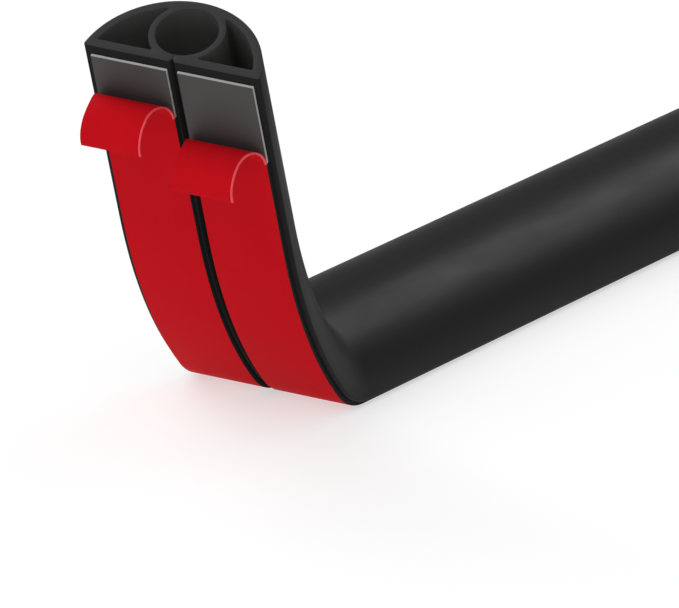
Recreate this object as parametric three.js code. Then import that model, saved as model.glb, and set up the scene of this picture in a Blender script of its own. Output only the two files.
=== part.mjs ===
// Floor cord cover: a length of black rubbery D-section with a round bore for a cord and a chamber
// on each side of the bore. Most of it lies flat, and its near end is bent up off the floor. Two
// strips of adhesive tape run along the underside. Each is covered by a thin release liner, whose
// near end is peeled back into a curl. Millimetres, +Z up, X along the cover and Y across it.

import * as THREE from "three";

const { degToRad } = THREE.MathUtils;

// Cover: the stock.
const COVER_LENGTH = 1000;
const COVER_WIDTH = 50;

// Cover: the cord bore, the walls below, above and around it, and the wall outside the side chambers.
const BORE_DIAMETER = 16.8;
const BASE_WALL = 2.6;
const TOP_WALL = 2.6;
const RING_WALL = 1.9;
const DOME_WALL = 2.4;
const COVER_HEIGHT = BASE_WALL + BORE_DIAMETER + TOP_WALL;

// Cover: the mouth along the underside, and the cut through which a cord is pressed into the bore.
const MOUTH_WIDTH = 1.6;
const MOUTH_DEPTH = 1.2;
const CUT_WIDTH = 0.4;

// Bend: two arcs from the floor up, by radius on the underside and angle turned, then a straight end.
const LOW_RADIUS = 34;
const LOW_ANGLE = degToRad(32);
const HIGH_RADIUS = 175;
const HIGH_ANGLE = degToRad(23);
const STRAIGHT_END = 65;

// Adhesive tapes: they stay clear of the cover's edges and ends, and of each other at the mouth.
const TAPE_THICKNESS = 0.8;
const TAPE_EDGE_MARGIN = 1.9;
const TAPE_END_MARGIN = 3.2;
const TAPE_GAP = 3;
const TAPE_WIDTH = COVER_WIDTH / 2 - TAPE_EDGE_MARGIN - TAPE_GAP / 2;

// Release liners: a film as wide as its tape, and the length of tape that each leaves bare.
const LINER_THICKNESS = 0.5;
const LEFT_BARE_TAPE = 17.5;
const RIGHT_BARE_TAPE = 28;

// Release liners: the curl of the peeled end, measured inside the film.
const CURL_RADIUS = 9;
const CURL_ANGLE = degToRad(163);

// The gap between a glued strip and what it is glued to.
const GLUE_GAP = 0.04;

// How finely round outlines and bends are divided.
const DOME_STEPS = 36;
const BORE_STEPS = 36;
const CHAMBER_ARC_STEPS = 12;
const BEND_STEP = degToRad(2.5);
const CURL_STEP = degToRad(11);
const LEAST_STATION_GAP = 0.5;

const BEND_ARCS = [
  { radius: LOW_RADIUS, angle: LOW_ANGLE },
  { radius: HIGH_RADIUS, angle: HIGH_ANGLE },
];
const LIFTED_LENGTH = BEND_ARCS.reduce((sum, arc) => sum + arc.radius * arc.angle, STRAIGHT_END);
const TAPE_OUTER_FACE = -(GLUE_GAP + TAPE_THICKNESS);
const LINER_OUTER_FACE = TAPE_OUTER_FACE - GLUE_GAP - LINER_THICKNESS;

// Where the underside is at a distance from the lifted end, and how far its section leans back.
function placeAt(distance) {
  let climb = LIFTED_LENGTH - distance;
  if (climb <= 0) return { x: -climb, z: 0, lean: 0 };
  const place = { x: 0, z: 0, lean: 0 };
  for (const { radius, angle } of BEND_ARCS) {
    const turned = Math.min(angle, Math.max(climb, 0) / radius);
    const lean = place.lean + turned;
    place.x += radius * (Math.sin(place.lean) - Math.sin(lean));
    place.z += radius * (Math.cos(place.lean) - Math.cos(lean));
    place.lean = lean;
    climb -= radius * turned;
  }
  place.x -= climb * Math.cos(place.lean);
  place.z += climb * Math.sin(place.lean);
  return place;
}

// The distances at which every strip has a station: its own ends, and steps along the bend.
function stationDistances() {
  const marks = [0, TAPE_END_MARGIN, COVER_LENGTH - TAPE_END_MARGIN, COVER_LENGTH];
  marks.push(TAPE_END_MARGIN + LEFT_BARE_TAPE, TAPE_END_MARGIN + RIGHT_BARE_TAPE);
  const bends = [STRAIGHT_END];
  let distance = LIFTED_LENGTH;
  for (const { radius, angle } of BEND_ARCS) {
    const steps = Math.ceil(angle / BEND_STEP);
    for (let step = 0; step < steps; step++) bends.push(distance - (radius * angle * step) / steps);
    distance -= radius * angle;
  }
  for (const bend of bends) {
    if (marks.every((mark) => Math.abs(mark - bend) > LEAST_STATION_GAP)) marks.push(bend);
  }
  return marks.sort((a, b) => a - b);
}

const DISTANCES = stationDistances();

function stationsBetween(start, end) {
  return DISTANCES.filter((d) => d >= start && d <= end).map(placeAt);
}

// Extrudes a section drawn across and up, and sends each unit step to its station.
function sweep(section, stations) {
  const steps = stations.length - 1;
  const geometry = new THREE.ExtrudeGeometry(section, { steps, depth: steps, bevelEnabled: false });
  const position = geometry.getAttribute("position");
  for (let i = 0; i < position.count; i++) {
    const across = position.getX(i);
    const up = position.getY(i);
    const { x, z, lean } = stations[Math.round(position.getZ(i))];
    position.setXYZ(i, x + up * Math.sin(lean), across, z + up * Math.cos(lean));
  }
  geometry.computeVertexNormals();
  return geometry;
}

function arcPoints(centreUp, radius, from, to, clockwise, steps) {
  return new THREE.EllipseCurve(0, centreUp, radius, radius, from, to, clockwise).getPoints(steps);
}

// The D-section: flat base, arched back, bore, and the mouth and cut that open it below.
function coverSection() {
  const half = COVER_WIDTH / 2;
  const backRadius = (half * half + COVER_HEIGHT * COVER_HEIGHT) / (2 * COVER_HEIGHT);
  const backCentre = COVER_HEIGHT - backRadius;
  const backStart = Math.atan2(-backCentre, half);
  const back = arcPoints(backCentre, backRadius, backStart, Math.PI - backStart, false, DOME_STEPS);

  const boreRadius = BORE_DIAMETER / 2;
  const boreCentre = BASE_WALL + boreRadius;
  const cutHalf = CUT_WIDTH / 2;
  const cutAngle = Math.asin(cutHalf / boreRadius);
  const below = -Math.PI / 2;
  const bore = arcPoints(boreCentre, boreRadius, below - cutAngle, below + cutAngle, true, BORE_STEPS);

  const section = new THREE.Shape([
    new THREE.Vector2(MOUTH_WIDTH / 2, 0),
    ...back,
    new THREE.Vector2(-MOUTH_WIDTH / 2, 0),
    new THREE.Vector2(-cutHalf, MOUTH_DEPTH),
    ...bore,
    new THREE.Vector2(cutHalf, MOUTH_DEPTH),
  ]);

  // A side chamber lies between the floor wall, the inside of the back and the ring of the bore.
  const innerRadius = backRadius - DOME_WALL;
  const ringRadius = boreRadius + RING_WALL;
  const floorEnd = Math.sqrt(innerRadius ** 2 - (BASE_WALL - backCentre) ** 2);
  const floorStart = Math.sqrt(ringRadius ** 2 - (BASE_WALL - boreCentre) ** 2);
  const peak =
    (innerRadius ** 2 - ringRadius ** 2 + boreCentre ** 2 - backCentre ** 2) /
    (2 * (boreCentre - backCentre));
  const peakAcross = Math.sqrt(ringRadius ** 2 - (peak - boreCentre) ** 2);
  const backFrom = Math.atan2(BASE_WALL - backCentre, floorEnd);
  const backTo = Math.atan2(peak - backCentre, peakAcross);
  const ringFrom = Math.atan2(peak - boreCentre, peakAcross);
  const ringTo = Math.atan2(BASE_WALL - boreCentre, floorStart);
  const underBack = arcPoints(backCentre, innerRadius, backFrom, backTo, false, CHAMBER_ARC_STEPS);
  const roundRing = arcPoints(boreCentre, ringRadius, ringFrom, ringTo, true, CHAMBER_ARC_STEPS);
  const chamber = [...underBack, ...roundRing.slice(1)];
  const mirrored = chamber.map((point) => new THREE.Vector2(-point.x, point.y)).reverse();
  section.holes.push(new THREE.Path(chamber), new THREE.Path(mirrored));
  return section;
}

function bandSection(side, outerFace, thickness) {
  const inner = TAPE_GAP / 2;
  const outer = inner + TAPE_WIDTH;
  const [low, high] = side > 0 ? [inner, outer] : [-outer, -inner];
  return new THREE.Shape([
    new THREE.Vector2(low, outerFace),
    new THREE.Vector2(high, outerFace),
    new THREE.Vector2(high, outerFace + thickness),
    new THREE.Vector2(low, outerFace + thickness),
  ]);
}

// Stations of the peeled end: from its free edge back to where the film leaves the tape.
function curlStations(peel) {
  const root = placeAt(peel);
  const reach = CURL_RADIUS - LINER_OUTER_FACE;
  const centreX = root.x - reach * Math.sin(root.lean);
  const centreZ = root.z - reach * Math.cos(root.lean);
  const steps = Math.ceil(CURL_ANGLE / CURL_STEP);
  return Array.from({ length: steps }, (_, step) => {
    const lean = root.lean - CURL_ANGLE * (1 - step / steps);
    return { x: centreX + reach * Math.sin(lean), z: centreZ + reach * Math.cos(lean), lean };
  });
}

function named(name, geometry, material) {
  const mesh = new THREE.Mesh(geometry, material);
  mesh.name = name;
  return mesh;
}

const rubber = new THREE.MeshStandardMaterial({ color: "#2b2a2b", roughness: 0.55, metalness: 0 });
const foam = new THREE.MeshStandardMaterial({ color: "#434142", roughness: 0.85, metalness: 0 });
const film = new THREE.MeshStandardMaterial({ color: "#b5151f", roughness: 0.4, metalness: 0 });

const SIDES = [
  { word: "left", side: 1, bareTape: LEFT_BARE_TAPE },
  { word: "right", side: -1, bareTape: RIGHT_BARE_TAPE },
];

const cordCover = new THREE.Group();
cordCover.add(named("cover_profile", sweep(coverSection(), DISTANCES.map(placeAt)), rubber));

const tapeEnd = COVER_LENGTH - TAPE_END_MARGIN;
for (const { word, side, bareTape } of SIDES) {
  const tape = bandSection(side, TAPE_OUTER_FACE, TAPE_THICKNESS);
  const tapeStations = stationsBetween(TAPE_END_MARGIN, tapeEnd);
  cordCover.add(named(`adhesive_tape_${word}`, sweep(tape, tapeStations), foam));

  const peel = TAPE_END_MARGIN + bareTape;
  const liner = bandSection(side, LINER_OUTER_FACE, LINER_THICKNESS);
  const linerStations = [...curlStations(peel), ...stationsBetween(peel, tapeEnd)];
  cordCover.add(named(`release_liner_${word}`, sweep(liner, linerStations), film));
}

// The part stands on its liners, with its origin below the middle of its box.
const box = new THREE.Box3().setFromObject(cordCover);
cordCover.position.set(-(box.min.x + box.max.x) / 2, 0, -LINER_OUTER_FACE);

export default cordCover;
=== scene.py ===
"""Floor cord cover: a black vinyl D-section, bent up at one end, with two tapes and their liners.

Lengths are in metres, in the part's own frame: +X along the cover from its bent-up end to its flat
end, +Y across it and +Z up. The cover, the tapes and the liners are strips that follow one run, which
is flat, then turns up off the floor in two bends and ends straight.
"""

import logging
import math
from dataclasses import dataclass, field
from enum import Enum

import bmesh
import bpy
from mathutils import Matrix, Vector


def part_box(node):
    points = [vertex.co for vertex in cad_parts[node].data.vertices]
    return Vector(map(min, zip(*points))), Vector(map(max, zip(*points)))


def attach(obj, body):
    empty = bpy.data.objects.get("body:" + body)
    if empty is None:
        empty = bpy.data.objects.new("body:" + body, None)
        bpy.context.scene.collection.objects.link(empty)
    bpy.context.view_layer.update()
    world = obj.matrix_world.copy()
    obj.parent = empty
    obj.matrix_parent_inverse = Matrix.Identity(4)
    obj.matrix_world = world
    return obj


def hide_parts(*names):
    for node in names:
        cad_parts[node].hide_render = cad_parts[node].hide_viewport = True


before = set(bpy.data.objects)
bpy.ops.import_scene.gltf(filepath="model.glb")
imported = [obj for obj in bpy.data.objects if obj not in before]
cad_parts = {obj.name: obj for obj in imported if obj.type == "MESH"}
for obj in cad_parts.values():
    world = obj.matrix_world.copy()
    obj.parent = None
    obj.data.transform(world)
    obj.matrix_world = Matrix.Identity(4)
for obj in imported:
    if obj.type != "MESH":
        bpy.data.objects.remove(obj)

MM = 0.001
RUN_LAYER = "run"
PLACE_TOLERANCE = 1e-6
SHARP_ANGLE = math.radians(28)
WHITE = "#ffffff"

log = logging.getLogger("floor_cord_cover")


def linear_colour(hex_code: str) -> tuple[float, float, float, float]:
    """Turns an sRGB hex value to the linear colour that a shader takes.

    Args:
        hex_code: Six hex digits with or without a leading hash.

    Returns:
        Red, green, blue and an alpha of one.
    """
    knee, slope, offset, power = 0.04045, 12.92, 0.055, 2.4
    digits = hex_code.lstrip("#")
    shares = [int(digits[i:i + 2], 16) / 255 for i in (0, 2, 4)]
    red, green, blue = [
        s / slope if s <= knee else ((s + offset) / (1 + offset)) ** power for s in shares
    ]
    return red, green, blue, 1.0


class Side(Enum):
    """The two strips under the cover, as seen when facing its bent-up end.

    A value is the word that stands for the side in the names of nodes and pieces.
    """

    LEFT = "left"
    RIGHT = "right"


class CoverZone(Enum):
    """The cover's faces by finish. A value is the number of the piece's material slot."""

    SKIN = 0
    CUT = 1
    INSIDE = 2


class StripZone(Enum):
    """A tape's or a liner's faces by finish. A value is the number of the piece's material slot."""

    SKIN = 0
    CUT = 1
    STUCK = 2


# The run


@dataclass(frozen=True)
class Stretch:
    """A straight piece of the run."""

    length: float


@dataclass(frozen=True)
class Bend:
    """A turn of the run, with its radius on the line that the section's base follows.

    A positive radius turns the run up from the floor, and a negative one curls it the other way.
    """

    radius: float
    angle: float

    @property
    def length(self) -> float:
        """The length of the run in this bend."""
        return abs(self.radius) * self.angle


Leg = Stretch | Bend


@dataclass
class Run:
    """The line that a strip follows from its flat end, as stretches and bends.

    A section is drawn across and up, and the run carries it along by extruding it and moving the new
    ring. Each ring keeps the length of run behind it, so that a pattern can follow the strip.
    """

    start: float
    base: float
    legs: tuple[Leg, ...]
    step_angle: float = math.radians(1)
    step_length: float = 60 * MM

    @property
    def length(self) -> float:
        """The whole length of the run."""
        return sum(leg.length for leg in self.legs)

    def carry(self, bm: bmesh.types.BMesh, faces: list[bmesh.types.BMFace]) -> None:
        """Stands a flat section up at the start of the run and sweeps it along.

        Args:
            bm: The mesh that holds the section.
            faces: The section's faces, drawn with X across and Y up.
        """
        layer = bm.verts.layers.float_vector.new(RUN_LAYER)
        for vert in bm.verts:
            vert[layer] = Vector((0, vert.co.x, vert.co.y))
        section_to_frame = Matrix((
            (0, 0, 1, self.start),
            (1, 0, 0, 0),
            (0, 1, 0, self.base),
            (0, 0, 0, 1),
        ))
        bmesh.ops.transform(bm, matrix=section_to_frame, verts=bm.verts)
        place = Vector((self.start, 0, self.base))
        lean = 0.0
        gone = 0.0
        for leg in self.legs:
            steps, move, lean_step = self.moves(leg, place, lean)
            for _ in range(steps):
                gone += leg.length / steps
                faces = self.extrude_ring(bm, faces, move, layer, gone)
                place = move @ place
                lean += lean_step
        bmesh.ops.recalc_face_normals(bm, faces=bm.faces)

    def moves(self, leg: Leg, place: Vector, lean: float) -> tuple[int, Matrix, float]:
        """Works out how a ring moves through one leg.

        Args:
            leg: The stretch or bend.
            place: Where the leg starts.
            lean: How far the section leans back there.

        Returns:
            The number of steps, the move of one step and the lean that it adds.
        """
        if isinstance(leg, Stretch):
            steps = max(1, math.ceil(leg.length / self.step_length))
            forward = Vector((-math.cos(lean), 0, math.sin(lean))) * (leg.length / steps)
            return steps, Matrix.Translation(forward), 0.0
        steps = max(1, math.ceil(leg.angle / self.step_angle))
        turn = math.copysign(leg.angle / steps, leg.radius)
        up = Vector((math.sin(lean), 0, math.cos(lean)))
        centre = place + up * leg.radius
        to_centre = Matrix.Translation(-centre)
        about = Matrix.Translation(centre) @ Matrix.Rotation(turn, 4, "Y") @ to_centre
        return steps, about, turn

    @staticmethod
    def extrude_ring(
        bm: bmesh.types.BMesh,
        faces: list[bmesh.types.BMFace],
        move: Matrix,
        layer: bmesh.types.BMLayerItem,
        gone: float,
    ) -> list[bmesh.types.BMFace]:
        """Extrudes the leading faces by one step.

        The faces' edges are given too, because then no old face stays behind inside the strip.

        Args:
            bm: The mesh.
            faces: The leading faces.
            move: The move of the new ring.
            layer: The layer that keeps the run's length.
            gone: The length of run behind the new ring.

        Returns:
            The new leading faces.
        """
        edges = list(dict.fromkeys(edge for face in faces for edge in face.edges))
        made = bmesh.ops.extrude_face_region(bm, geom=faces + edges)["geom"]
        ring = [item for item in made if isinstance(item, bmesh.types.BMVert)]
        bmesh.ops.transform(bm, matrix=move, verts=ring)
        for vert in ring:
            vert[layer] = Vector((gone, vert[layer].y, vert[layer].z))
        return [item for item in made if isinstance(item, bmesh.types.BMFace)]

    @staticmethod
    def end_faces(bm: bmesh.types.BMesh, gone: float) -> list[bmesh.types.BMFace]:
        """Finds the faces that close the strip where the given length of run lies behind them."""
        layer = bm.verts.layers.float_vector[RUN_LAYER]
        return [
            face for face in bm.faces
            if all(abs(vert[layer].x - gone) < PLACE_TOLERANCE for vert in face.verts)
        ]


def heading(origin: Vector, target: Vector) -> float:
    """Gives the direction from one point of a section to another, as an angle from +X."""
    return math.atan2(target.y - origin.y, target.x - origin.x)


def centre_between(low: Vector, low_reach: float, high: Vector, high_reach: float) -> Vector:
    """Finds the point on the +X side at given reaches from two points of the middle line.

    Args:
        low: The lower point.
        low_reach: The distance to it.
        high: The higher point.
        high_reach: The distance to it.

    Returns:
        The point.
    """
    up = (low_reach**2 - high_reach**2 + high.y**2 - low.y**2) / (2 * (high.y - low.y))
    return Vector((math.sqrt(high_reach**2 - (up - high.y) ** 2), up, 0))


def round_off(bm: bmesh.types.BMesh, faces: list[bmesh.types.BMFace], radius: float) -> None:
    """Rounds the rim of flat end faces in two chamfers, which move the faces out by the radius.

    Args:
        bm: The mesh.
        faces: The end faces.
        radius: The radius of the rounding.
    """
    near_share = 1 - math.cos(math.pi / 4)
    for across in (near_share, 1 - near_share):
        bmesh.ops.inset_region(
            bm, faces=faces, thickness=across * radius, depth=(1 - across) * radius,
            use_boundary=True, use_even_offset=True,
        )


def finish_mesh(bm: bmesh.types.BMesh, name: str) -> bpy.types.Object:
    """Turns a bmesh to an object at the origin, smooth but for its sharp edges.

    Args:
        bm: The mesh, which is freed.
        name: The object's name.

    Returns:
        The object, linked to the scene.
    """
    mesh = bpy.data.meshes.new(name)
    bm.to_mesh(mesh)
    bm.free()
    mesh.shade_smooth()
    mesh.set_sharp_from_angle(angle=SHARP_ANGLE)
    piece = bpy.data.objects.new(name, mesh)
    bpy.context.scene.collection.objects.link(piece)
    return piece


# Finishes


# Almost all of a noise texture's values lie between these two.
NOISE_LOW = 0.3
NOISE_HIGH = 0.7

# A mix node has a socket of each name for each kind of data, so those for colours go by number.
MIX_FACTOR = 0
MIX_A = 6
MIX_B = 7
MIX_RESULT = 2


class NodeSheet:
    """A node tree that is filled one node at a time."""

    def __init__(self, tree: bpy.types.NodeTree) -> None:
        """Empties the tree.

        Args:
            tree: The node tree to fill.
        """
        self.tree = tree
        tree.nodes.clear()

    def add(
        self,
        kind: str,
        values: dict[str | int, object] | None = None,
        links: dict[str | int, bpy.types.NodeSocket] | None = None,
        **settings: object,
    ) -> bpy.types.Node:
        """Adds a node with its settings and links.

        Args:
            kind: The node's type.
            values: Values for its inputs, by name or number.
            links: Output sockets that feed its inputs, by name or number.
            **settings: Values for its properties.

        Returns:
            The new node.
        """
        node = self.tree.nodes.new(kind)
        for key, value in settings.items():
            setattr(node, key, value)
        for key, value in (values or {}).items():
            node.inputs[key].default_value = value
        for key, socket in (links or {}).items():
            self.tree.links.new(socket, node.inputs[key])
        return node


def new_material(name: str) -> tuple[bpy.types.Material, NodeSheet]:
    """Makes a material with an empty node tree.

    Args:
        name: The material's name.

    Returns:
        The material and its sheet.
    """
    material = bpy.data.materials.new(name)
    material.use_nodes = True
    return material, NodeSheet(material.node_tree)


@dataclass(frozen=True)
class Grain:
    """A pattern's size along the run, across it and up through it, in metres."""

    along: float
    across: float
    up: float

    @property
    def scale(self) -> tuple[float, float, float]:
        """How often the pattern repeats in a metre, each way."""
        return 1 / self.along, 1 / self.across, 1 / self.up


@dataclass(frozen=True)
class Finish:
    """A surface: one colour that drifts to another, one roughness that drifts, and a fine relief.

    Patterns are read in the run's own coordinates, so that they follow the bends. The IOR suits PVC,
    acrylic adhesive and polyethylene alike.
    """

    name: str
    colour: str
    drift_colour: str
    drift_grain: Grain
    relief_grain: Grain
    relief_depth: float
    roughness: tuple[float, float]
    specular: float
    gloss_tint: str = WHITE
    ior: float = 1.5
    drift_detail: float = 2.0
    relief_detail: float = 3.0
    pattern_roughness: float = 0.55

    def material(self) -> bpy.types.Material:
        """Builds the material.

        Returns:
            The material with its node tree.
        """
        material, sheet = new_material(self.name)
        place = sheet.add("ShaderNodeAttribute", attribute_name=RUN_LAYER).outputs["Vector"]
        drift = self.pattern(sheet, place, self.drift_grain, self.drift_detail)
        relief = self.pattern(sheet, place, self.relief_grain, self.relief_detail)
        colour = sheet.add(
            "ShaderNodeMix",
            {MIX_A: linear_colour(self.colour), MIX_B: linear_colour(self.drift_colour)},
            {MIX_FACTOR: drift},
            data_type="RGBA",
        )
        smoothest, roughest = self.roughness
        rough = sheet.add(
            "ShaderNodeMapRange",
            {
                "From Min": NOISE_LOW,
                "From Max": NOISE_HIGH,
                "To Min": smoothest,
                "To Max": roughest,
            },
            {"Value": drift},
        )
        bump = sheet.add(
            "ShaderNodeBump",
            {"Strength": 1.0, "Distance": self.relief_depth},
            {"Height": relief},
        )
        shader = sheet.add(
            "ShaderNodeBsdfPrincipled",
            {
                "IOR": self.ior,
                "Specular IOR Level": self.specular,
                "Specular Tint": linear_colour(self.gloss_tint),
            },
            {
                "Base Color": colour.outputs[MIX_RESULT],
                "Roughness": rough.outputs[0],
                "Normal": bump.outputs[0],
            },
        )
        sheet.add("ShaderNodeOutputMaterial", links={"Surface": shader.outputs[0]})
        return material

    def pattern(
        self, sheet: NodeSheet, place: bpy.types.NodeSocket, grain: Grain, detail: float
    ) -> bpy.types.NodeSocket:
        """Adds a soft random pattern of the given grain.

        Args:
            sheet: The sheet to add it to.
            place: The coordinates to read.
            grain: The pattern's size each way.
            detail: How many finer layers it has.

        Returns:
            The socket with the pattern's value.
        """
        mapped = sheet.add("ShaderNodeMapping", {"Scale": grain.scale}, {"Vector": place})
        noise = sheet.add(
            "ShaderNodeTexNoise",
            {"Scale": 1.0, "Detail": detail, "Roughness": self.pattern_roughness},
            {"Vector": mapped.outputs[0]},
        )
        return noise.outputs[0]


def dress(piece: bpy.types.Object, finishes: dict[Enum, Finish]) -> None:
    """Gives each zone of a piece its finish.

    Args:
        piece: The piece.
        finishes: The finish of each of its zones.
    """
    for zone in sorted(finishes, key=lambda zone: zone.value):
        piece.data.materials.append(finishes[zone].material())


# Plasticised PVC pushed through a die: a satin skin with faint lines along its length. Real die lines
# are a few hundredths of a millimetre apart, and are drawn about 0.7 mm apart so that they show.
EXTRUDED_VINYL = Finish(
    name="extruded_vinyl",
    colour="#1c1c1d",
    drift_colour="#202021",
    drift_grain=Grain(40 * MM, 6 * MM, 6 * MM),
    relief_grain=Grain(90 * MM, 0.7 * MM, 0.7 * MM),
    relief_depth=0.006 * MM,
    roughness=(0.42, 0.48),
    specular=0.03,
)

# The same PVC inside the bore and the chambers: dull, and painted greyer as light in the hollows.
HOLLOW_PAINTED_LIGHT_VINYL = Finish(
    name="hollow_painted_light_vinyl",
    colour="#3f3f3e",
    drift_colour="#464645",
    drift_grain=Grain(14 * MM, 4 * MM, 4 * MM),
    relief_grain=Grain(5 * MM, 0.8 * MM, 0.8 * MM),
    relief_depth=0.01 * MM,
    roughness=(0.7, 0.8),
    specular=0.06,
)

# The same PVC where a blade went through it: dull and paler, with drag marks across the section.
KNIFE_CUT_VINYL = Finish(
    name="knife_cut_vinyl",
    colour="#323232",
    drift_colour="#393939",
    drift_grain=Grain(3 * MM, 5 * MM, 2 * MM),
    relief_grain=Grain(1 * MM, 4 * MM, 0.35 * MM),
    relief_depth=0.02 * MM,
    roughness=(0.62, 0.72),
    specular=0.08,
)

# Acrylic adhesive with its liner just pulled off: dull dark grey, faintly orange-peeled and mottled.
BARE_ADHESIVE = Finish(
    name="bare_adhesive",
    colour="#474646",
    drift_colour="#4b4a4a",
    drift_grain=Grain(9 * MM, 5 * MM, 5 * MM),
    relief_grain=Grain(1.1 * MM, 0.9 * MM, 0.9 * MM),
    relief_depth=0.012 * MM,
    roughness=(0.55, 0.68),
    specular=0.1,
)

# Near-black adhesive on the sides of tape and film along their stuck stretch.
NEAR_BLACK_SIDE_ADHESIVE = Finish(
    name="near_black_side_adhesive",
    colour="#242323",
    drift_colour="#2c2a2a",
    drift_grain=Grain(5 * MM, 1 * MM, 1 * MM),
    relief_grain=Grain(0.9 * MM, 0.5 * MM, 0.5 * MM),
    relief_depth=0.02 * MM,
    roughness=(0.7, 0.8),
    specular=0.05,
)

# The slit edge of the tape's pale foam core, with fine closed cells. Its pale colour is also a painted
# edge highlight.
FOAM_CORE_AND_HIGHLIGHT_EDGE = Finish(
    name="foam_core_and_highlight_edge",
    colour="#b8b8b6",
    drift_colour="#adadab",
    drift_grain=Grain(6 * MM, 1 * MM, 1 * MM),
    relief_grain=Grain(0.5 * MM, 0.4 * MM, 0.4 * MM),
    relief_depth=0.03 * MM,
    roughness=(0.6, 0.75),
    specular=0.3,
)

# Polyethylene release film, dyed red and siliconed: smooth, with a soft sheen of its own colour.
RELEASE_FILM = Finish(
    name="release_film",
    colour="#b60f19",
    drift_colour="#bf131d",
    drift_grain=Grain(30 * MM, 12 * MM, 12 * MM),
    relief_grain=Grain(14 * MM, 2.4 * MM, 2.4 * MM),
    relief_depth=0.01 * MM,
    roughness=(0.5, 0.58),
    specular=0.01,
    gloss_tint="#d8202a",
)

# The slit edge of that film and the burr beside it: paler, partly because the stretched film scatters
# light and partly as a painted edge highlight.
FILM_CUT_AND_HIGHLIGHT_EDGE = Finish(
    name="film_cut_and_highlight_edge",
    colour="#e44c54",
    drift_colour="#dc424a",
    drift_grain=Grain(12 * MM, 1 * MM, 1 * MM),
    relief_grain=Grain(0.8 * MM, 0.3 * MM, 0.3 * MM),
    relief_depth=0.01 * MM,
    roughness=(0.5, 0.6),
    specular=0.2,
)


# The part


# The length of tape that each liner leaves bare.
BARE_TAPE = {Side.LEFT: 17.5 * MM, Side.RIGHT: 28 * MM}


@dataclass(frozen=True)
class BendSizes:
    """How the cover's near end is bent up off the floor, measured on its underside."""

    low: Bend = Bend(34 * MM, math.radians(32))
    high: Bend = Bend(175 * MM, math.radians(23))
    straight_end: float = 65 * MM

    @property
    def lifted(self) -> float:
        """The length of run that is off the floor."""
        return self.low.length + self.high.length + self.straight_end

    def legs(self, length: float, flat_margin: float, lifted_margin: float) -> tuple[Leg, ...]:
        """Gives the legs of a strip that stays short of the cover's ends.

        Args:
            length: The cover's length.
            flat_margin: How far the strip starts from the cover's flat end.
            lifted_margin: How far it ends from the cover's bent-up end.

        Returns:
            The flat stretch, the two bends and the straight end.
        """
        flat = Stretch(length - self.lifted - flat_margin)
        return flat, self.low, self.high, Stretch(self.straight_end - lifted_margin)


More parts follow.
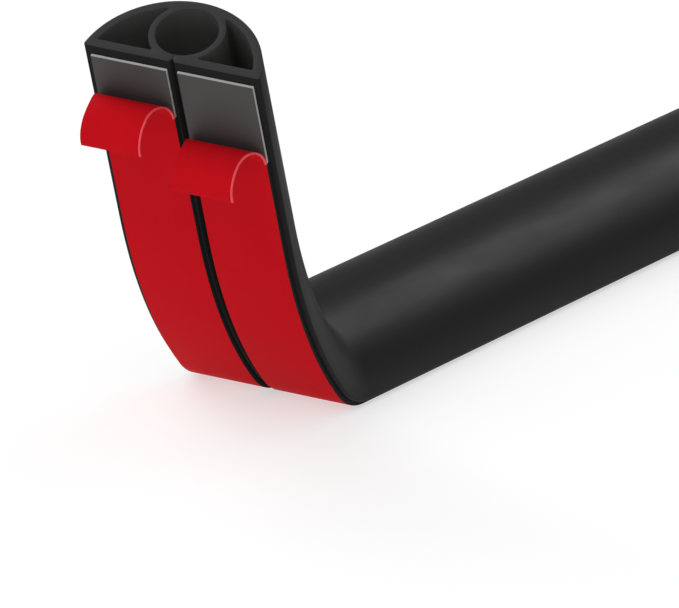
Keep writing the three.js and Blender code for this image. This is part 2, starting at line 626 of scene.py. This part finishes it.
@dataclass
class CoverProfile:
    """The black D-section with its bore, its two side chambers and the slit along its underside.

    The slit is a flared mouth and a cut from there to the bore. The cut is all but closed, because
    its rubbery walls lie on each other.
    """

    bends: BendSizes
    length: float = 1000 * MM
    bore_diameter: float = 16.8 * MM
    base_wall: float = 2.6 * MM
    top_wall: float = 2.6 * MM
    ring_wall: float = 1.9 * MM
    dome_wall: float = 2.4 * MM
    mouth_width: float = 1.6 * MM
    mouth_depth: float = 1.2 * MM
    cut_width: float = 0.02 * MM
    corner_round: float = 0.5 * MM
    lip_round: float = 0.35 * MM
    chamber_round: float = 0.4 * MM
    end_round: float = 0.18 * MM
    arc_step: float = 0.7 * MM
    least_arc_steps: int = 6
    lip_steps: int = 4
    half_width: float = field(init=False)
    flat_end: float = field(init=False)
    base: float = field(init=False)

    def __post_init__(self) -> None:
        """Takes the cover's width and place from the frame."""
        low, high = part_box("cover_profile")
        self.half_width = (high.y - low.y) / 2
        self.flat_end = high.x
        self.base = low.z

    @property
    def height(self) -> float:
        """The height of the section."""
        return self.base_wall + self.bore_diameter + self.top_wall

    @property
    def back_radius(self) -> float:
        """The radius of the arched back, through both base corners and the top."""
        return (self.half_width**2 + self.height**2) / (2 * self.height)

    def build(self) -> bpy.types.Object:
        """Makes the cover.

        Returns:
            The piece, with its finishes.
        """
        bm = bmesh.new()
        self.draw_half(bm)
        bmesh.ops.mirror(bm, geom=bm.verts[:] + bm.edges[:], axis="X", merge_dist=PLACE_TOLERANCE)
        filled = bmesh.ops.triangle_fill(bm, edges=bm.edges, use_beauty=True)["geom"]
        faces = [item for item in filled if isinstance(item, bmesh.types.BMFace)]
        legs = self.bends.legs(self.length, self.end_round, self.end_round)
        run = Run(self.flat_end - self.end_round, self.base, legs)
        run.carry(bm, faces)
        self.mark_inside(bm)
        for gone in (0.0, run.length):
            ends = run.end_faces(bm, gone)
            for face in ends:
                face.material_index = CoverZone.CUT.value
            round_off(bm, ends, self.end_round)
        piece = finish_mesh(bm, "vinyl_cover")
        # The bore and chambers are painted paler, as light in the hollows.
        dress(piece, {
            CoverZone.SKIN: EXTRUDED_VINYL,
            CoverZone.CUT: KNIFE_CUT_VINYL,
            CoverZone.INSIDE: HOLLOW_PAINTED_LIGHT_VINYL,
        })
        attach(piece, "root")
        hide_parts("cover_profile")
        return piece

    def draw_half(self, bm: bmesh.types.BMesh) -> None:
        """Draws the section's edges on the +X side, with X across and Y up.

        Every corner between two arcs, or an arc and a wall, is a fillet whose centre lies a fillet's
        radius off both, so that each arc ends in the direction of a fillet's centre.

        Args:
            bm: The mesh to draw in.
        """
        back = Vector((0, self.height - self.back_radius, 0))
        bore_radius = self.bore_diameter / 2
        bore = Vector((0, self.base_wall + bore_radius, 0))
        inner_radius = self.back_radius - self.dome_wall
        ring_radius = bore_radius + self.ring_wall
        top = math.radians(90)
        down = math.radians(-90)
        turn = math.radians(360)

        # The arched back and the base corner.
        corner = self.centre_above(back, self.back_radius - self.corner_round, self.corner_round)
        self.draw_arc(bm, back, self.back_radius, top, heading(back, corner))
        base_end = self.draw_arc(bm, corner, self.corner_round, heading(back, corner), down)

        # The bore, the cut and the mouth.
        cut_angle = math.asin(self.cut_width / 2 / bore_radius)
        cut_end = self.draw_arc(bm, bore, bore_radius, top, down + cut_angle)
        lip = bm.verts.new((self.mouth_width / 2, 0, 0))
        throat = bm.verts.new((self.cut_width / 2, self.mouth_depth, 0))
        for pair in ((base_end, lip), (lip, throat), (throat, cut_end)):
            bm.edges.new(pair)
        bmesh.ops.bevel(
            bm, geom=[lip], offset=self.lip_round, offset_type="OFFSET", segments=self.lip_steps,
            profile=0.5, affect="VERTICES", material=-1,
        )

        # The side chamber.
        fillet = self.chamber_round
        floor = self.base_wall + fillet
        outer_foot = self.centre_above(back, inner_radius - fillet, floor)
        inner_foot = self.centre_above(bore, ring_radius + fillet, floor)
        peak = centre_between(back, inner_radius - fillet, bore, ring_radius + fillet)
        self.draw_arc(bm, back, inner_radius, heading(back, outer_foot), heading(back, peak))
        self.draw_arc(bm, peak, fillet, heading(back, peak), heading(peak, bore) + turn)
        self.draw_arc(bm, bore, ring_radius, heading(bore, peak), heading(bore, inner_foot))
        floor_start = self.draw_arc(bm, inner_foot, fillet, heading(inner_foot, bore), down + turn)
        outer_turn = self.draw_arc(bm, outer_foot, fillet, heading(back, outer_foot), down)
        bm.edges.new((floor_start, outer_turn))
        bmesh.ops.remove_doubles(bm, verts=bm.verts, dist=PLACE_TOLERANCE)

    def mark_inside(self, bm: bmesh.types.BMesh) -> None:
        """Gives the walls of the bore and of the side chambers their own finish, painted paler as light
        in the hollows.

        Args:
            bm: The swept cover.
        """
        layer = bm.verts.layers.float_vector[RUN_LAYER]
        back = self.height - self.back_radius
        reach = self.back_radius - self.dome_wall / 2
        floor = self.base_wall - PLACE_TOLERANCE
        for face in bm.faces:
            places = [vert[layer] for vert in face.verts]
            if all(place.z > floor and math.hypot(place.y, place.z - back) < reach for place in places):
                face.material_index = CoverZone.INSIDE.value

    @staticmethod
    def centre_above(centre: Vector, reach: float, up: float) -> Vector:
        """Finds the point at a height, on the +X side, that lies at a reach from a centre."""
        return Vector((math.sqrt(reach**2 - (up - centre.y) ** 2), up, 0))

    def draw_arc(
        self, bm: bmesh.types.BMesh, centre: Vector, radius: float, start: float, end: float
    ) -> bmesh.types.BMVert:
        """Draws an arc by spinning a vertex.

        Args:
            bm: The mesh to draw in.
            centre: The arc's centre.
            radius: Its radius.
            start: The direction from the centre in which it starts.
            end: The direction in which it ends.

        Returns:
            The arc's last vertex.
        """
        first = bm.verts.new(centre + Vector((math.cos(start), math.sin(start), 0)) * radius)
        steps = max(self.least_arc_steps, math.ceil(radius * abs(end - start) / self.arc_step))
        spun = bmesh.ops.spin(
            bm, geom=[first], cent=centre, axis=(0, 0, 1), angle=end - start, steps=steps,
            use_merge=False, use_duplicate=False,
        )
        return next(item for item in spun["geom_last"] if isinstance(item, bmesh.types.BMVert))


@dataclass
class FlatStrip:
    """A flat strip with rounded corners, by its right and left side, its underside and its thickness.

    A band along the right side shows as it was cut: a burr, and a painted edge highlight. rim_share is
    the share of the rounding that counts as a side.
    """

    right: float
    left: float
    low: float
    thickness: float
    edge_round: float
    burr_and_highlight: float = 0.0
    rim_share: float = 0.6
    round_steps: int = 3

    def draw(self, bm: bmesh.types.BMesh) -> list[bmesh.types.BMFace]:
        """Draws the strip's section.

        Args:
            bm: The mesh to draw in.

        Returns:
            The section's faces.
        """
        width = self.left - self.right
        middle = Vector(((self.right + self.left) / 2, self.low + self.thickness / 2, 0))
        matrix = Matrix.Translation(middle) @ Matrix.Diagonal((width, self.thickness, 1, 1))
        unit_square_half = 0.5
        bmesh.ops.create_grid(
            bm, x_segments=1, y_segments=1, size=unit_square_half, matrix=matrix,
        )
        bmesh.ops.bevel(
            bm, geom=bm.verts[:], offset=self.edge_round, offset_type="OFFSET",
            segments=self.round_steps, profile=0.5, affect="VERTICES", material=-1,
        )
        if self.burr_and_highlight:
            bmesh.ops.bisect_plane(
                bm, geom=bm.verts[:] + bm.edges[:] + bm.faces[:],
                plane_co=(self.right + self.burr_and_highlight, 0, 0), plane_no=(1, 0, 0),
            )
        return list(bm.faces)

    def mark_sides(self, bm: bmesh.types.BMesh, past: float) -> None:
        """Gives the sides finishes of their own, before and after a length of run.

        Args:
            bm: The swept strip.
            past: The length of run past which the right side shows as it was cut.
        """
        layer = bm.verts.layers.float_vector[RUN_LAYER]
        rim = self.edge_round * self.rim_share
        for face in bm.faces:
            places = [vert[layer] for vert in face.verts]
            across = sum(place.y for place in places) / len(places)
            if min(place.x for place in places) > past - PLACE_TOLERANCE:
                # Past that length the right side gets the pale cut finish, partly a painted edge
                # highlight.
                if across < self.right + max(self.burr_and_highlight, rim):
                    face.material_index = StripZone.CUT.value
            elif min(across - self.right, self.left - across) < rim:
                # The sides along the stuck stretch are made near black.
                face.material_index = StripZone.STUCK.value


@dataclass
class AdhesiveTape:
    """A strip of double-sided foam tape glued along one half of the underside."""

    side: Side
    cover: CoverProfile
    bare_tape: float
    thickness: float = 0.8 * MM
    edge_round: float = 0.12 * MM

    def build(self) -> bpy.types.Object:
        """Makes the tape.

        Returns:
            The piece, with its finishes.
        """
        node = f"adhesive_tape_{self.side.value}"
        low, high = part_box(node)
        cover = self.cover
        margin = cover.flat_end - high.x
        strip = FlatStrip(
            right=low.y, left=high.y, low=low.z - cover.base,
            thickness=self.thickness, edge_round=self.edge_round,
        )
        bm = bmesh.new()
        faces = strip.draw(bm)
        covered = cover.bends.legs(cover.length, margin, margin + self.bare_tape)
        run = Run(high.x, cover.base, (*covered, Stretch(self.bare_tape)))
        run.carry(bm, faces)
        strip.mark_sides(bm, run.length - self.bare_tape)
        for gone in (0.0, run.length):
            for face in run.end_faces(bm, gone):
                face.material_index = StripZone.CUT.value
        piece = finish_mesh(bm, f"tape_{self.side.value}")
        # The pale foam core edge on the tape's ends and bare right side is partly a painted edge
        # highlight.
        dress(piece, {
            StripZone.SKIN: BARE_ADHESIVE,
            StripZone.CUT: FOAM_CORE_AND_HIGHLIGHT_EDGE,
            StripZone.STUCK: NEAR_BLACK_SIDE_ADHESIVE,
        })
        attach(piece, "root")
        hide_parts(node)
        return piece


@dataclass
class ReleaseLiner:
    """The red film on one tape, stuck down along the run and curled back at its peeled end.

    The curl ends in a tighter tip, so that the flap hooks back at its free edge. Both radii are
    measured inside the film.
    """

    side: Side
    cover: CoverProfile
    bare_tape: float
    thickness: float = 0.5 * MM
    end_margin: float = 3.2 * MM
    curl_radius: float = 9 * MM
    curl_angle: float = math.radians(115)
    tip_radius: float = 6 * MM
    tip_angle: float = math.radians(72)
    edge_round: float = 0.1 * MM
    burr_and_highlight: float = 0.6 * MM
    free_end_share: float = 0.79
    narrowing_angle: float = math.radians(100)
    step_angle: float = math.radians(2)

    def build(self) -> bpy.types.Object:
        """Makes the liner.

        Returns:
            The piece, with its finishes.
        """
        node = f"release_liner_{self.side.value}"
        low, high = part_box(node)
        cover = self.cover
        bottom = low.z - cover.base
        strip = FlatStrip(
            right=low.y, left=high.y, low=bottom,
            thickness=self.thickness, edge_round=self.edge_round, burr_and_highlight=self.burr_and_highlight,
        )
        bm = bmesh.new()
        faces = strip.draw(bm)
        stuck = cover.bends.legs(cover.length, self.end_margin, self.end_margin + self.bare_tape)
        curl = Bend(-(self.curl_radius - bottom), self.curl_angle)
        tip = Bend(-(self.tip_radius - bottom), self.tip_angle)
        run = Run(high.x, cover.base, (*stuck, curl, tip), self.step_angle)
        run.carry(bm, faces)
        root = run.length - curl.length - tip.length
        self.narrow_flap(bm, root, curl, (low.y + high.y) / 2)
        strip.mark_sides(bm, root)
        piece = finish_mesh(bm, f"liner_{self.side.value}")
        # The paler cut edge is partly a painted edge highlight, and the sides along the stuck stretch
        # are near black.
        dress(piece, {
            StripZone.SKIN: RELEASE_FILM,
            StripZone.CUT: FILM_CUT_AND_HIGHLIGHT_EDGE,
            StripZone.STUCK: NEAR_BLACK_SIDE_ADHESIVE,
        })
        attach(piece, "root")
        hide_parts(node)
        return piece

    def narrow_flap(self, bm: bmesh.types.BMesh, root: float, curl: Bend, middle: float) -> None:
        """Draws the curled flap in towards its free edge, slowly at first and slowly at last.

        Args:
            bm: The swept strip.
            root: The length of run behind the curl's root.
            curl: The curl.
            middle: Where the middle of the strip is, across.
        """
        layer = bm.verts.layers.float_vector[RUN_LAYER]
        narrowing_length = abs(curl.radius) * self.narrowing_angle
        for vert in bm.verts:
            share = min(max((vert[layer].x - root) / narrowing_length, 0), 1)
            eased = share * share * (3 - 2 * share)
            vert.co.y = middle + (vert.co.y - middle) * (1 - (1 - self.free_end_share) * eased)


# The stage


@dataclass(frozen=True)
class SoftBox:
    """A rectangular studio light that faces a point."""

    name: str
    place: tuple[float, float, float]
    aim: tuple[float, float, float]
    width: float
    depth: float
    watts: float
    colour: str = WHITE

    def build(self) -> None:
        """Makes the light."""
        lamp = bpy.data.lights.new(self.name, "AREA")
        lamp.shape = "RECTANGLE"
        lamp.size = self.width
        lamp.size_y = self.depth
        lamp.energy = self.watts
        lamp.color = linear_colour(self.colour)[:3]
        light = bpy.data.objects.new(self.name, lamp)
        light.location = self.place
        towards = Vector(self.aim) - Vector(self.place)
        light.rotation_euler = towards.to_track_quat("-Z", "Y").to_euler()
        bpy.context.scene.collection.objects.link(light)


@dataclass
class Studio:
    """A pale light table, a dim surround and large soft lights."""

    floor_half: float = 6.0
    floor_colour: str = "#b5b5b5"
    floor_roughness: float = 0.9
    floor_glow: float = 0.575
    surround_strength: float = 0.25
    lights: tuple[SoftBox, ...] = (
        SoftBox("overhead_box", (-0.2, 0.0, 2.6), (-0.2, 0.0, 0.0), width=3.4, depth=3.4, watts=8),
        SoftBox("front_box", (-2.1, -0.1, 1.5), (-0.4, 0.0, 0.05), width=2.0, depth=1.4, watts=28),
        SoftBox("shadow_box", (0.5, 2.0, 1.5), (-0.2, 0.0, 0.0), width=2.2, depth=2.2, watts=44),
        SoftBox("back_strip", (2.6, -0.3, 1.3), (-0.2, 0.0, 0.02), width=1.2, depth=0.4, watts=15),
    )

    def build(self) -> None:
        """Makes the floor, the surround and the lights."""
        self.lay_floor()
        self.set_surround()
        for light_box in self.lights:
            light_box.build()

    def lay_floor(self) -> None:
        """Makes the glowing floor."""
        bm = bmesh.new()
        bmesh.ops.create_grid(bm, x_segments=1, y_segments=1, size=self.floor_half)
        floor = finish_mesh(bm, "studio_floor")
        material, sheet = new_material("opal_acrylic_table")
        shader = sheet.add(
            "ShaderNodeBsdfPrincipled",
            {
                "Base Color": linear_colour(self.floor_colour),
                "Roughness": self.floor_roughness,
                "Specular IOR Level": 0.0,
                "Emission Color": linear_colour(WHITE),
                "Emission Strength": self.floor_glow,
            },
        )
        sheet.add("ShaderNodeOutputMaterial", links={"Surface": shader.outputs[0]})
        floor.data.materials.append(material)

    def set_surround(self) -> None:
        """Makes the surround, and shows colours as they are."""
        world = bpy.data.worlds.new("surround")
        world.use_nodes = True
        sheet = NodeSheet(world.node_tree)
        light = sheet.add(
            "ShaderNodeBackground",
            {"Color": linear_colour(WHITE), "Strength": self.surround_strength},
        )
        sheet.add("ShaderNodeOutputWorld", links={"Surface": light.outputs[0]})
        bpy.context.scene.world = world
        bpy.context.scene.view_settings.view_transform = "Standard"


@dataclass
class PhotoCamera:
    """A far camera at the photograph's viewing angle.

    The look-at point is where its axis meets the plane through the middle of the cover.
    """

    cover: CoverProfile
    azimuth: float = math.radians(68.787)
    elevation: float = math.radians(13.725)
    roll: float = math.radians(6.454)
    distance: float = 4.0
    pixels_per_metre: float = 3712.34
    aim_past_foot: float = 33.757 * MM
    aim_height: float = 15.304 * MM
    frame_width_px: int = 679
    sensor_width_mm: float = 36.0
    clip_end: float = 100.0

    def build(self) -> None:
        """Makes the camera and gives it to the scene."""
        back = Vector((
            -math.sin(self.azimuth) * math.cos(self.elevation),
            -math.cos(self.azimuth) * math.cos(self.elevation),
            math.sin(self.elevation),
        ))
        level_right = Vector((math.cos(self.azimuth), -math.sin(self.azimuth), 0))
        level_up = back.cross(level_right)
        right = level_right * math.cos(self.roll) + level_up * math.sin(self.roll)
        up = level_up * math.cos(self.roll) - level_right * math.sin(self.roll)
        foot = self.cover.flat_end - self.cover.length + self.cover.bends.lifted
        aim = Vector((foot + self.aim_past_foot, 0, self.cover.base + self.aim_height))
        lens = bpy.data.cameras.new("photo_camera")
        lens.sensor_fit = "HORIZONTAL"
        lens.sensor_width = self.sensor_width_mm
        focal_px = self.pixels_per_metre * self.distance
        lens.lens = focal_px / self.frame_width_px * self.sensor_width_mm
        lens.clip_end = self.clip_end
        camera = bpy.data.objects.new("photo_camera", lens)
        facing = Matrix((right, up, back)).transposed().to_4x4()
        camera.matrix_world = Matrix.Translation(aim + back * self.distance) @ facing
        bpy.context.scene.collection.objects.link(camera)
        bpy.context.scene.camera = camera


def main() -> None:
    """Builds the cover, its tapes and liners, and the studio."""
    logging.basicConfig(level=logging.INFO, format="%(name)s: %(message)s")
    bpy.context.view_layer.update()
    cover = CoverProfile(BendSizes())
    pieces = [cover.build()]
    for side, bare_tape in BARE_TAPE.items():
        pieces.append(AdhesiveTape(side, cover, bare_tape).build())
        pieces.append(ReleaseLiner(side, cover, bare_tape).build())
    for piece in pieces:
        log.info("%s: %d faces", piece.name, len(piece.data.polygons))
    Studio().build()
    PhotoCamera(cover).build()


if __name__ == "__main__":
    main()
